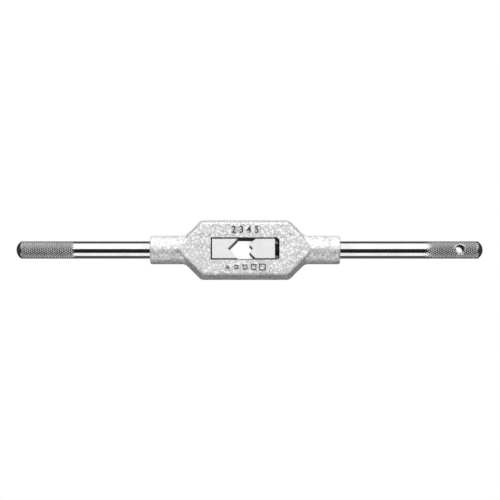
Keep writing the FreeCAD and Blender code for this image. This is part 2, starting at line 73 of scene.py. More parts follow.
# Edges sharper than these, in degrees, stay sharp when shaded.
TURNED_EDGE = 28.0
CAST_EDGE = 40.0
LOG = logging.getLogger("tap_wrench")

Ring = tuple[float, float]
Colour = tuple[float, float, float]


# --- modelling by hand ---------------------------------------------------


def start_alone() -> None:
    """Leaves edit mode, if in it, and deselects everything."""
    if bpy.context.object and bpy.context.object.mode != "OBJECT":
        bpy.ops.object.mode_set(mode="OBJECT")
    bpy.ops.object.select_all(action="DESELECT")


def take(piece: bpy.types.Object) -> None:
    """Makes a piece the only selected and the active one."""
    start_alone()
    piece.select_set(True)
    bpy.context.view_layer.objects.active = piece


def settle(piece: bpy.types.Object) -> None:
    """Moves a piece's place, turn and scale into its mesh."""
    take(piece)
    bpy.ops.object.transform_apply(location=True, rotation=True, scale=True)


def pick_points(piece: bpy.types.Object,
                wanted: Callable[[Vector], bool]) -> None:
    """Selects points of a mesh in edit mode by their place.

    Args:
        piece: The mesh object, already in edit mode.
        wanted: Tells from a point's place whether to select it.
    """
    bpy.ops.mesh.select_mode(type="VERT")
    bpy.ops.mesh.select_all(action="DESELECT")
    mesh = bmesh.from_edit_mesh(piece.data)
    for point in mesh.verts:
        if wanted(point.co):
            point.select_set(True)
    mesh.select_flush_mode()
    bmesh.update_edit_mesh(piece.data)


def pick_open_edges(piece: bpy.types.Object, low: float, high: float) -> None:
    """Selects the open edges that lie between two places along X.

    Args:
        piece: The mesh object, already in edit mode.
        low: Lowest X of an edge's points.
        high: Highest X of an edge's points.
    """
    bpy.ops.mesh.select_mode(type="EDGE")
    bpy.ops.mesh.select_all(action="DESELECT")
    mesh = bmesh.from_edit_mesh(piece.data)
    for edge in mesh.edges:
        if edge.is_boundary and all(
                low <= point.co.x <= high for point in edge.verts):
            edge.select_set(True)
    bmesh.update_edit_mesh(piece.data)


def bridge_rings(piece: bpy.types.Object, low: float, high: float) -> None:
    """Bridges the two open rings that lie between two places along X."""
    take(piece)
    bpy.ops.object.mode_set(mode="EDIT")
    pick_open_edges(piece, low, high)
    bpy.ops.mesh.bridge_edge_loops()
    bpy.ops.object.mode_set(mode="OBJECT")


def radius_of(place: Vector) -> float:
    """Returns a point's distance from the X axis."""
    return math.hypot(place.y, place.z)


def draw_rings(name: str, rings: Sequence[Ring],
               steps: int) -> bpy.types.Object:
    """Models a turned surface about X by drawing a circle along it.

    Args:
        name: Name of the new object.
        rings: Place along X and radius of each ring, in order.
        steps: Number of points around.

    Returns:
        The new object, open at both ends.
    """
    start_alone()
    place, radius = rings[0]
    bpy.ops.mesh.primitive_circle_add(
        vertices=steps, radius=radius, location=(place, 0, 0),
        rotation=(0, math.pi / 2, 0))
    piece = bpy.context.active_object
    piece.name = name
    settle(piece)
    bpy.ops.object.mode_set(mode="EDIT")
    bpy.ops.mesh.select_all(action="SELECT")
    for (before, old), (after, new) in pairwise(rings):
        bpy.ops.mesh.extrude_region_move(
            TRANSFORM_OT_translate={"value": (after - before, 0, 0)})
        if abs(new - old) > 1e-9:
            bpy.ops.transform.resize(
                value=(1, new / old, new / old),
                center_override=(after, 0, 0))
    bpy.ops.object.mode_set(mode="OBJECT")
    return piece


def close_ring(piece: bpy.types.Object, place: float, pole: bool) -> None:
    """Closes the ring at one place along X.

    Args:
        piece: The mesh object.
        place: The ring's X.
        pole: Draws the ring together to a pole instead of filling it flat.
    """
    take(piece)
    bpy.ops.object.mode_set(mode="EDIT")
    pick_points(piece, lambda point: abs(point.x - place) < 1e-7)
    if pole:
        bpy.ops.mesh.merge(type="CENTER")
    else:
        bpy.ops.mesh.edge_face_add()
    bpy.ops.object.mode_set(mode="OBJECT")


def join(pieces: Sequence[bpy.types.Object]) -> bpy.types.Object:
    """Joins objects into the first of them and returns it."""
    take(pieces[0])
    for piece in pieces[1:]:
        piece.select_set(True)
    bpy.ops.object.join()
    return bpy.context.active_object


def tidy_mesh(piece: bpy.types.Object, merge: float = 1e-6) -> None:
    """Merges doubled points and turns all faces outwards."""
    take(piece)
    bpy.ops.object.mode_set(mode="EDIT")
    bpy.ops.mesh.select_all(action="SELECT")
    bpy.ops.mesh.remove_doubles(threshold=merge)
    bpy.ops.mesh.normals_make_consistent(inside=False)
    bpy.ops.object.mode_set(mode="OBJECT")


def cut_away(piece: bpy.types.Object, tool: bpy.types.Object) -> None:
    """Subtracts a tool from a piece and removes the tool."""
    take(piece)
    change = piece.modifiers.new("cut", "BOOLEAN")
    change.operation = "DIFFERENCE"
    change.solver = "EXACT"
    change.object = tool
    bpy.ops.object.modifier_apply(modifier=change.name)
    bpy.data.objects.remove(tool)


def smooth_by_angle(piece: bpy.types.Object, degrees: float) -> None:
    """Shades a piece smooth, but for edges sharper than an angle."""
    take(piece)
    bpy.ops.object.shade_smooth_by_angle(angle=math.radians(degrees))


def copy_of_node(node: str, name: str) -> bpy.types.Object:
    """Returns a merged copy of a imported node's mesh, as a new object."""
    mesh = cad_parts[node].data.copy()
    piece = bpy.data.objects.new(name, mesh)
    bpy.context.scene.collection.objects.link(piece)
    tidy_mesh(piece)
    return piece


def keep_side(piece: bpy.types.Object, place: float, outward: int) -> None:
    """Cuts a piece across X and keeps the side opposite to outward."""
    take(piece)
    bpy.ops.object.mode_set(mode="EDIT")
    bpy.ops.mesh.select_all(action="SELECT")
    bpy.ops.mesh.bisect(
        plane_co=(place, 0, 0), plane_no=(outward, 0, 0),
        use_fill=False, clear_outer=True)
    bpy.ops.object.mode_set(mode="OBJECT")


# --- shader node groups ----------------------------------------------------


class Effect(Enum):
    """Surface effects that several finishes share."""

    MOTTLE = "cast mottle"
    LINES = "fine tool lines"
    # Painted shade along the window's seams, between the casting and the jaws.
    SEAM = "painted shade in the window's seams"


def new_group(name: str, inputs: Sequence[tuple[str, float]],
              outputs: Sequence[str]) -> bpy.types.NodeTree:
    """Makes an empty shader group with number sockets.

    Args:
        name: The group's name.
        inputs: Name and starting value of each input.
        outputs: Name of each output.

    Returns:
        The group, with its input and output nodes in place.
    """
    group = bpy.data.node_groups.new(name, "ShaderNodeTree")
    group.interface.new_socket(
        "Place", in_out="INPUT", socket_type="NodeSocketVector")
    for label, value in inputs:
        socket = group.interface.new_socket(
            label, in_out="INPUT", socket_type="NodeSocketFloat")
        socket.default_value = value
    for label in outputs:
        group.interface.new_socket(
            label, in_out="OUTPUT", socket_type="NodeSocketFloat")
    group.nodes.new("NodeGroupInput").name = "in"
    group.nodes.new("NodeGroupOutput").name = "out"
    return group


def add_noise(tree: bpy.types.NodeTree, place: bpy.types.NodeSocket,
              scale: float, detail: float) -> bpy.types.Node:
    """Adds a noise texture read at a place and returns its node."""
    noise = tree.nodes.new("ShaderNodeTexNoise")
    noise.inputs["Scale"].default_value = scale
    noise.inputs["Detail"].default_value = detail
    tree.links.new(place, noise.inputs["Vector"])
    return noise


def add_range(tree: bpy.types.NodeTree, value: bpy.types.NodeSocket,
              source: tuple[float, float],
              target: tuple[float, float]) -> bpy.types.NodeSocket:
    """Adds a clamped range change and returns its result."""
    node = tree.nodes.new("ShaderNodeMapRange")
    for label, number in zip(
            ("From Min", "From Max", "To Min", "To Max"), source + target):
        node.inputs[label].default_value = number
    tree.links.new(value, node.inputs["Value"])
    return node.outputs["Result"]


def add_math(tree: bpy.types.NodeTree, operation: str,
             first: bpy.types.NodeSocket,
             second: bpy.types.NodeSocket | float = 0.0
             ) -> bpy.types.NodeSocket:
    """Adds a Math node of one or two values and returns its result."""
    node = tree.nodes.new("ShaderNodeMath")
    node.operation = operation
    tree.links.new(first, node.inputs[0])
    if isinstance(second, float):
        node.inputs[1].default_value = second
    else:
        tree.links.new(second, node.inputs[1])
    return node.outputs["Value"]


def add_length(tree: bpy.types.NodeTree,
               vector: bpy.types.NodeSocket) -> bpy.types.NodeSocket:
    """Adds the length of a vector and returns it."""
    node = tree.nodes.new("ShaderNodeVectorMath")
    node.operation = "LENGTH"
    tree.links.new(vector, node.inputs[0])
    return node.outputs["Value"]


def split(tree: bpy.types.NodeTree,
          vector: bpy.types.NodeSocket) -> bpy.types.NodeOutputs:
    """Splits a vector and returns its X, Y and Z outputs."""
    node = tree.nodes.new("ShaderNodeSeparateXYZ")
    tree.links.new(vector, node.inputs[0])
    return node.outputs


def build_mottle() -> bpy.types.NodeTree:
    """Builds a casting's skin: cloudy, with fine broken flow lines."""
    group = new_group(
        Effect.MOTTLE.value, [("Grain", 1500.0)], ["Cloud", "Height"])
    start, end = group.nodes["in"], group.nodes["out"]
    place = start.outputs["Place"]
    noise = add_noise(group, place, 1500.0, 2.0)
    noise.inputs["Distortion"].default_value = 0.6
    group.links.new(start.outputs["Grain"], noise.inputs["Scale"])
    middle = add_math(group, "SUBTRACT", noise.outputs["Fac"], 0.5)
    ridge = add_math(group, "ABSOLUTE", middle)
    line = add_range(group, ridge, (0.0, 0.05), (1, 0))
    broad = add_noise(group, place, 420.0, 2.0)
    patch = add_range(group, broad.outputs["Fac"], (0.4, 0.58), (0.3, 1))
    drawn = add_math(group, "MULTIPLY", line, patch)
    cloud = add_range(group, noise.outputs["Fac"], (0.3, 0.62), (0.55, 1))
    marked = add_math(group, "MULTIPLY", drawn, 0.9)
    clear = add_range(group, marked, (0, 1), (1, 0))
    group.links.new(
        add_math(group, "MULTIPLY", cloud, clear), end.inputs["Cloud"])
    group.links.new(
        add_math(group, "SUBTRACT", noise.outputs["Fac"],
                add_math(group, "MULTIPLY", drawn, 0.2)),
        end.inputs["Height"])
    return group


def build_seam() -> bpy.types.NodeTree:
    """Builds a mask that is 0 along an upright seam, where shade is painted, else 1.

    The seam is a rectangle whose corners on the +X side are rounded.
    """
    group = new_group(
        Effect.SEAM.value,
        [("Middle", 0.0), ("Half Length", 0.01), ("Half Width", 0.004),
         ("Round", 0.001), ("Spread", 0.0003)], ["Clean"])
    start, end = group.nodes["in"], group.nodes["out"]
    parts = split(group, start.outputs["Place"])
    along = add_math(group, "SUBTRACT", parts["X"], start.outputs["Middle"])
    right = add_math(group, "GREATER_THAN", along, 0.0)
    rounding = add_math(group, "MULTIPLY", right, start.outputs["Round"])
    corner = group.nodes.new("ShaderNodeCombineXYZ")
    gaps = []
    for axis, value, half in (("X", along, "Half Length"),
                              ("Y", parts["Y"], "Half Width")):
        size = add_math(group, "ABSOLUTE", value)
        gap = add_math(group, "SUBTRACT", size, start.outputs[half])
        gaps.append(add_math(group, "ADD", gap, rounding))
        group.links.new(
            add_math(group, "MAXIMUM", gaps[-1], 0.0), corner.inputs[axis])
    reach = add_length(group, corner.outputs["Vector"])
    inner = add_math(
        group, "MINIMUM", add_math(group, "MAXIMUM", *gaps), 0.0)
    whole = add_math(group, "ADD", reach, inner)
    away = add_math(
        group, "ABSOLUTE", add_math(group, "SUBTRACT", whole, rounding))
    share = add_math(group, "DIVIDE", away, start.outputs["Spread"])
    group.links.new(
        add_range(group, share, (0.7, 1.0), (0, 1)), end.inputs["Clean"])
    return group


def build_lines() -> bpy.types.NodeTree:
    """Builds fine parallel tool lines that cross the group's X direction."""
    group = new_group(
        Effect.LINES.value,
        [("Across", 9000.0), ("Along", 250.0)], ["Lines", "Smear"])
    start, end = group.nodes["in"], group.nodes["out"]
    scale = group.nodes.new("ShaderNodeCombineXYZ")
    group.links.new(start.outputs["Across"], scale.inputs["X"])
    group.links.new(start.outputs["Along"], scale.inputs["Y"])
    group.links.new(start.outputs["Along"], scale.inputs["Z"])
    stretch = group.nodes.new("ShaderNodeVectorMath")
    stretch.operation = "MULTIPLY"
    group.links.new(start.outputs["Place"], stretch.inputs[0])
    group.links.new(scale.outputs["Vector"], stretch.inputs[1])
    noise = add_noise(group, stretch.outputs["Vector"], 1.0, 2.0)
    smear = add_noise(group, start.outputs["Place"], 180.0, 3.0)
    group.links.new(noise.outputs["Fac"], end.inputs["Lines"])
    group.links.new(smear.outputs["Fac"], end.inputs["Smear"])
    return group


# --- finishes ------------------------------------------------------------


# Near-black painted shade along the window's seams, in the gap between the casting and the
# jaws.
SEAM_SHADE = (0.02, 0.02, 0.02)


def add_blend(tree: bpy.types.NodeTree, share: bpy.types.NodeSocket,
              low: "Colour | bpy.types.NodeSocket",
              high: "Colour | bpy.types.NodeSocket") -> bpy.types.NodeSocket:
    """Adds a mix of two colours and returns its result."""
    blend = tree.nodes.new("ShaderNodeMix")
    blend.data_type = "RGBA"
    tree.links.new(share, blend.inputs["Factor"])
    sockets = [item for item in blend.inputs if item.type == "RGBA"]
    for socket, colour in zip(sockets, (low, high)):
        if isinstance(colour, tuple):
            socket.default_value = (*colour, 1)
        else:
            tree.links.new(colour, socket)
    return [item for item in blend.outputs if item.type == "RGBA"][0]


@dataclass(frozen=True)
class Seam:
    """The outline of the casting's window, where shade between the casting and the jaws is
    painted.

    Attributes:
        middle: Place along X of its middle.
        half_length: Half of its length along X.
        half_width: Half of its width along Y.
        rounding: Radius of its corners at the screw's end.
        spread: How far the painted shade reaches to either side.
    """

    middle: float
    half_length: float
    half_width: float
    rounding: float = 1.1 * MM
    spread: float = 0.32 * MM

    def mask(self, tree: bpy.types.NodeTree, place: bpy.types.NodeSocket
             ) -> bpy.types.NodeSocket:
        """Adds a mask that is 0 in the painted shade and returns it."""
        node = tree.nodes.new("ShaderNodeGroup")
        node.node_tree = bpy.data.node_groups[Effect.SEAM.value]
        node.inputs["Middle"].default_value = self.middle
        node.inputs["Half Length"].default_value = self.half_length
        node.inputs["Half Width"].default_value = self.half_width
        node.inputs["Round"].default_value = self.rounding
        node.inputs["Spread"].default_value = self.spread
        tree.links.new(place, node.inputs["Place"])
        return node.outputs["Clean"]


def window_seam(play: float = 0.12 * MM) -> Seam:
    """Returns the window's seam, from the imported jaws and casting."""
    low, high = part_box("frame_casting")
    middle = (low.x + high.x) / 2
    jaw_low, jaw_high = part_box("fixed_jaw")
    return Seam(middle, middle - jaw_low.x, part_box("movable_jaw")[1].y + play)


@dataclass(frozen=True)
class Finish:
    """A metal finish with its own procedural material.

    Attributes:
        name: The material's name.
        light: Colour of the bright areas.
        dark: Colour of the dull areas; on the knurl's grooves and the casting's raised
            marks it is painted shade.
        smooth: Lowest roughness.
        rough: Highest roughness.
        relief: Height of the surface relief in metres.
        metal: How metallic it is; a frosted casting is less than 1.
        seam: The seam along which shade is painted on it, if any.
    """

    name: str
    light: Colour
    dark: Colour
    smooth: float
    rough: float
    relief: float
    metal: float = 1.0
    seam: "Seam | None" = None

    def material(self) -> bpy.types.Material:
        """Builds the material and returns it."""
        material = bpy.data.materials.new(self.name)
        material.use_nodes = True
        tree = material.node_tree
        shader = tree.nodes["Principled BSDF"]
        shader.inputs["Metallic"].default_value = self.metal
        place = tree.nodes.new("ShaderNodeTexCoord").outputs["Object"]
        mask, height = self.pattern(tree, place)
        colour = add_blend(tree, mask, self.dark, self.light)
        # Paints shade along the window's seams.
        if self.seam:
            unshaded = self.seam.mask(tree, place)
            colour = add_blend(tree, unshaded, SEAM_SHADE, colour)
        tree.links.new(colour, shader.inputs["Base Color"])
        rough = add_range(tree, mask, (0, 1), (self.rough, self.smooth))
        tree.links.new(rough, shader.inputs["Roughness"])
        bump = tree.nodes.new("ShaderNodeBump")
        bump.inputs["Distance"].default_value = self.relief
        tree.links.new(height, bump.inputs["Height"])
        tree.links.new(bump.outputs["Normal"], shader.inputs["Normal"])
        return material

    def pattern(self, tree: bpy.types.NodeTree, place: bpy.types.NodeSocket
                ) -> tuple[bpy.types.NodeSocket, bpy.types.NodeSocket]:
        """Adds the finish's own pattern; returns its mask and its height."""
        raise NotImplementedError


@dataclass(frozen=True)
class CastZinc(Finish):
    """Tumbled zinc casting: bright, cloudy and finely pitted."""

    grain: float = 1500.0
    mark_level: float = 1.0

    def pattern(self, tree: bpy.types.NodeTree, place: bpy.types.NodeSocket
                ) -> tuple[bpy.types.NodeSocket, bpy.types.NodeSocket]:
        """Adds the mottle, with painted shade on raised marks; returns mask and height."""
        node = tree.nodes.new("ShaderNodeGroup")
        node.node_tree = bpy.data.node_groups[Effect.MOTTLE.value]
        node.inputs["Grain"].default_value = self.grain
        tree.links.new(place, node.inputs["Place"])
        # The raised marks above mark_level are painted dark: painted shade standing for
        # their shaded sides.
        plain = add_range(
            tree, split(tree, place)["Z"],
            (self.mark_level, self.mark_level + 0.02 * MM), (1, 0))
        mask = add_math(tree, "MULTIPLY", node.outputs["Cloud"], plain)
        return mask, node.outputs["Height"]


@dataclass(frozen=True)
class LinedSteel(Finish):
    """Ground or turned steel with fine lines across the X direction."""

    across: float = 9000.0
    along: float = 250.0

    def pattern(self, tree: bpy.types.NodeTree, place: bpy.types.NodeSocket
                ) -> tuple[bpy.types.NodeSocket, bpy.types.NodeSocket]:
        """Adds the tool lines; returns their mask and their height."""
        node = tree.nodes.new("ShaderNodeGroup")
        node.node_tree = bpy.data.node_groups[Effect.LINES.value]
        node.inputs["Across"].default_value = self.across
        node.inputs["Along"].default_value = self.along
        tree.links.new(place, node.inputs["Place"])
        mask = add_range(tree, node.outputs["Smear"], (0.3, 0.7), (0, 1))
        return mask, node.outputs["Lines"]


@dataclass(frozen=True)
class KnurledPlate(LinedSteel):
    """Plated knurl: bright crests over grooves with painted shade."""

    crest: float = 3.27 * MM
    valley: float = 3.14 * MM

    def pattern(self, tree: bpy.types.NodeTree, place: bpy.types.NodeSocket
                ) -> tuple[bpy.types.NodeSocket, bpy.types.NodeSocket]:
        """Adds a mask by distance from the axis, with painted shade in the grooves, over
        the tool lines.
        """
        smear, lines = super().pattern(tree, place)
        flat = tree.nodes.new("ShaderNodeVectorMath")
        flat.operation = "MULTIPLY"
        flat.inputs[1].default_value = (0, 1, 1)
        tree.links.new(place, flat.inputs[0])
        # Painted shade: the grooves are painted darker the deeper they lie.
        depth = add_range(
            tree, add_length(tree, flat.outputs["Vector"]),
            (self.valley, self.crest), (0, 1))
        floor = add_range(tree, smear, (0, 1), (0.75, 1))
        return add_math(tree, "MULTIPLY", depth, floor), lines


@dataclass(frozen=True)
class Finishes:
    """All finishes of the wrench, for its window and face.

    Attributes:
        seam: The window's seam.
        mark_level: Height over the axis above which only marks stand.
    """

    seam: Seam
    mark_level: float

    @property
    def zinc(self) -> CastZinc:
        """Tumbled zinc of the frame casting."""
        return CastZinc(
            "tumbled_zinc", (0.96, 0.96, 0.96), (0.08, 0.081, 0.083),
            0.34, 0.55, 0.12 * MM, 0.4, self.seam, 1100.0, self.mark_level)

    @property
    def ground(self) -> LinedSteel:
        """Ground steel of the jaws."""
        return LinedSteel(
            "ground_jaw_face", (0.95, 0.95, 0.945), (0.86, 0.86, 0.855),
            0.3, 0.42, 0.004 * MM, 0.5, self.seam)

    @property
    def plated(self) -> LinedSteel:
        """Polished plate of the handles' shanks."""
        return LinedSteel(
            "polished_plate", (0.94, 0.942, 0.945), (0.82, 0.822, 0.825),
            0.07, 0.14, 0.0008 * MM, 1.0, None, 12000.0, 120.0)

    @property
    def knurled_with_shade(self) -> KnurledPlate:
        """Plated knurl with painted shade in its grooves."""
        return KnurledPlate(
            "knurled_plate_painted_shade", (0.95, 0.95, 0.95), (0.05, 0.05, 0.05),
            0.16, 0.4, 0.002 * MM)

    @property
    def dome_painted_dark(self) -> LinedSteel:
        """Turned plate of the domed ends, darkened as a painted dark reflection."""
        return LinedSteel(
            "dome_plate_painted_dark", (0.22, 0.22, 0.22), (0.13, 0.13, 0.13),
            0.3, 0.4, 0.002 * MM)

    @property
    def oiled_and_shaded(self) -> LinedSteel:
        """Oiled steel of the screw and the spigot inside the casting, painted darker as
        shade; the cross hole's wall gets it as painted shade.
        """
        return LinedSteel(
            "oiled_steel_and_painted_shade", (0.3, 0.295, 0.29), (0.14, 0.135, 0.13),
            0.22, 0.34, 0.002 * MM)

    @property
    def pin(self) -> LinedSteel:
        """Hardened steel of the pins."""
        return LinedSteel(
            "hardened_pin", (0.62, 0.62, 0.63), (0.42, 0.42, 0.43),
            0.3, 0.42, 0.002 * MM)


def make_finishes() -> Finishes:
    """Returns the finishes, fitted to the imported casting."""
    face = -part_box("frame_casting")[0].z
    return Finishes(window_seam(), face + 0.06 * MM)


def material_of(finish: Finish) -> bpy.types.Material:
    """Returns a finish's material, built the first time."""
    return bpy.data.materials.get(finish.name) or finish.material()


def dress(piece: bpy.types.Object, finish: Finish) -> None:
    """Gives a whole piece one finish.

    Args:
        piece: The mesh object.
        finish: The finish.
    """
    material = material_of(finish)
    if not piece.material_slots:
        piece.data.materials.append(material)
    for place in piece.material_slots:
        place.material = material


# --- sub-assemblies --------------------------------------------------------


class HandlePart(IntEnum):
    """Parts of a handle, in the order of its material slots."""

    SHANK = 0
    KNURL = 1
    DOME = 2
    # Oiled steel painted darker as shade; the cross hole's wall gets it as painted shade
    # only.
    OILED = 3


@dataclass
class Knurl:
    """A 30 degree diamond knurl, cut as rows of small flat-topped teeth.

    Attributes:
        crest: Radius over the teeth.
        depth: Depth of the grooves.
        teeth: Teeth around.
        flat: Share of a tooth that is its flat top.
        fade_in: Rows over which the grooves deepen at the shank's end.
        fade_out: Rows over which they run out at the domed end.
        overlap: How far the knurl runs onto the smooth shank.
    """

    crest: float
    depth: float = 0.3 * MM
    teeth: int = 26
    flat: float = 0.5
    fade_in: int = 1
    fade_out: int = 0
    overlap: float = 1.0 * MM

    @property
    def half_pitch(self) -> float:
        """Distance along the axis from one row to the next."""
        width = 2 * math.pi * self.crest / self.teeth
        return width / math.tan(math.radians(30)) / 2

    def rows_in(self, length: float) -> int:
        """Returns how many rows cover a length."""
        return math.ceil(length / self.half_pitch) - 1

    def build(self, name: str, start: float, rows: int) -> bpy.types.Object:
        """Models the toothed skin.

        Args:
            name: Name of the new object.
            start: Place along X of the first row's near points.
            rows: Number of rows.

        Returns:
            The skin, open at both ends.
        """
        root = self.crest - self.depth
        half_turn = math.pi / self.teeth
        middle = start + self.half_pitch
        start_alone()
        bpy.ops.mesh.primitive_circle_add(
            vertices=4, radius=1, fill_type="NGON", location=(0, 0, 0))
        skin = bpy.context.active_object
        skin.name = name
        bpy.ops.object.mode_set(mode="EDIT")
        bpy.ops.transform.resize(
            value=(self.half_pitch, root * math.sin(half_turn), 1),
            center_override=(0, 0, 0))
        bpy.ops.transform.translate(value=(middle, 0, root))
        pick_points(skin, lambda point: abs(point.y) > 1e-6)
        bpy.ops.transform.translate(
            value=(0, 0, -root * (1 - math.cos(half_turn))))
        bpy.ops.mesh.select_all(action="SELECT")
        bpy.ops.mesh.select_mode(type="FACE")
        wide = root * math.sin(half_turn)
        slope = wide * self.half_pitch / math.hypot(wide, self.half_pitch)
        bpy.ops.mesh.inset(
            thickness=(1 - self.flat) * slope, depth=self.depth)
        bpy.ops.mesh.select_all(action="SELECT")
        bpy.ops.mesh.spin(
            steps=self.teeth - 1, dupli=True,
            angle=2 * math.pi - 2 * half_turn,
            center=(0, 0, 0), axis=(1, 0, 0))
        bpy.ops.mesh.select_all(action="SELECT")
        for _ in range(rows - 1):
            bpy.ops.mesh.duplicate_move(
                TRANSFORM_OT_translate={"value": (self.half_pitch, 0, 0)})
            bpy.ops.transform.rotate(
                value=half_turn, orient_axis="X", center_override=(0, 0, 0))
        bpy.ops.mesh.select_all(action="SELECT")
        bpy.ops.mesh.remove_doubles(threshold=0.01 * MM)
        self.run_out(skin, start, rows)
        bpy.ops.object.mode_set(mode="OBJECT")
        return skin

    def run_out(self, skin: bpy.types.Object, start: float, rows: int) -> None:
        """Raises the grooves towards the crest at both ends of the skin."""
        root = self.crest - self.depth
        last = rows + 1
        fades = [(row, 1 - row / (self.fade_in + 1))
                 for row in range(self.fade_in + 1)]
        fades += [(last - row, 1 - row / (self.fade_out + 1))
                  for row in range(self.fade_out + 1)]
        for row, share in fades:
            place = start + row * self.half_pitch
            pick_points(skin, lambda point: abs(point.x - place) < 0.02 * MM
                        and radius_of(point) < root + 0.02 * MM)
            grow = (root + share * self.depth) / root
            bpy.ops.transform.resize(
                value=(1, grow, grow), center_override=(place, 0, 0))


@dataclass
class Handle:
    """A handle: packed inner end, smooth shank, knurl and domed end.

    Lengths are measured outwards from the mouth of the handle's boss.

    Attributes:
        finishes: The wrench's finishes.
        node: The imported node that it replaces.
        body: The body that it rides on.
        outward: 1 if it points along +X, and -1 if along -X.
        shank: Smooth length outside the boss.
        knurl: The grip's knurl.
        grip: Length of the grip.
        dome: Height of the domed end.
        inside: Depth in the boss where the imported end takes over.
        inner_gap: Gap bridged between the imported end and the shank.
        shank_gap: Gap bridged between the shank and the knurl.
        dome_gap: Gap bridged between the knurl and the dome.
        last_land: Plain land between the knurl's last teeth and the dome.
        steps: Points around.
    """

    finishes: Finishes
    node: str
    body: str
    outward: int
    shank: float
    knurl: Knurl
    grip: float = 20.0 * MM
    dome: float = 1.9 * MM
    inside: float = 2.0 * MM
    inner_gap: float = 0.5 * MM
    shank_gap: float = 0.8 * MM
    dome_gap: float = 0.05 * MM
    last_land: float = 0.4 * MM
    steps: int = 52
    radius: float = field(init=False)
    mouth: float = field(init=False)

    def __post_init__(self) -> None:
        """Reads the radius and the boss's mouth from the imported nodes."""
        low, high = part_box(self.node)
        self.radius = (high.y - low.y) / 2
        frame_low, frame_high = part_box("frame_casting")
        self.mouth = frame_high.x if self.outward > 0 else frame_low.x

    def shank_rings(self) -> list[Ring]:
        """Returns the rings of the smooth shank."""
        count = 12
        first = self.inner_gap - self.inside
        reach = self.shank - self.knurl.overlap - self.shank_gap - first
        return [(first + reach * number / count, self.radius)
                for number in range(count + 1)]

    def dome_rings(self, start: float) -> list[Ring]:
        """Returns the rings of the domed end, up to its pole."""
        ball = (self.radius ** 2 + self.dome ** 2) / (2 * self.dome)
        middle = start + self.dome - ball
        widest = math.asin(self.radius / ball)
        count = 9
        rings = []
        for number in range(count + 1):
            angle = widest * (1 - number / count) or 1e-4
            rings.append((middle + ball * math.cos(angle),
                          ball * math.sin(angle)))
        return rings

    def build_outside(self) -> bpy.types.Object:
        """Models the handle outside its boss, along +X from its mouth."""
        rows = self.knurl.rows_in(self.grip + self.knurl.overlap)
        span = (rows + 1) * self.knurl.half_pitch
        end = self.shank + self.grip
        start = end - self.dome_gap - span
        shank = draw_rings(
            f"{self.node}_shank", self.shank_rings(), self.steps)
        skin = self.knurl.build(f"{self.node}_knurl", start, rows)
        rings = self.dome_rings(end)
        dome = draw_rings(f"{self.node}_dome", rings, self.steps)
        close_ring(dome, rings[-1][0], pole=True)
        whole = join([shank, skin, dome])
        margin = 1.5 * self.knurl.half_pitch
        for place in (start, end):
            bridge_rings(whole, place - margin, place + margin)
        return whole

    def build(self) -> bpy.types.Object:
        """Models the whole handle in its place and returns it."""
        outside = self.build_outside()
        turn = 0.0 if self.outward > 0 else math.pi
        outside.rotation_euler = (0, 0, turn)
        outside.location = (self.mouth, 0, 0)
        settle(outside)
        inner = copy_of_node(self.node, f"{self.node}_inner")
        cut = self.mouth - self.outward * self.inside
        keep_side(inner, cut, self.outward)
        whole = join([outside, inner])
        whole.name = f"{self.node}_finished"
        bridge_rings(whole, cut - 1.0 * MM, cut + 1.0 * MM)
        tidy_mesh(whole)
        self.work(whole)
        smooth_by_angle(whole, TURNED_EDGE)
        self.dress(whole)
        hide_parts(self.node)
        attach(whole, self.body)
        return whole

    def work(self, piece: bpy.types.Object) -> None:
        """Adds what only some handles have; a plain one has nothing."""

    def part_of(self, place: Vector) -> HandlePart:
        """Tells a face's part from its centre.

        Args:
            place: The face's centre.

        Returns:
            The part; what stays inside the boss is oiled steel, painted darker as shade.
        """
        out = self.outward * (place.x - self.mouth)
        if out < 1.2 * self.inner_gap - self.inside:
            return HandlePart.OILED
        if out < self.shank - self.knurl.overlap:
            return HandlePart.SHANK
        if out < self.shank + self.grip - self.last_land:
            return HandlePart.KNURL
        return HandlePart.DOME

    def dress(self, piece: bpy.types.Object) -> None:
        """Gives each part of the handle its finish."""
        made = self.finishes
        piece.data.materials.clear()
        dress(piece, made.plated)
        for finish in (made.knurled_with_shade, made.dome_painted_dark, made.oiled_and_shaded):
            piece.data.materials.append(material_of(finish))
        for face in piece.data.polygons:
            face.material_index = self.part_of(face.center)


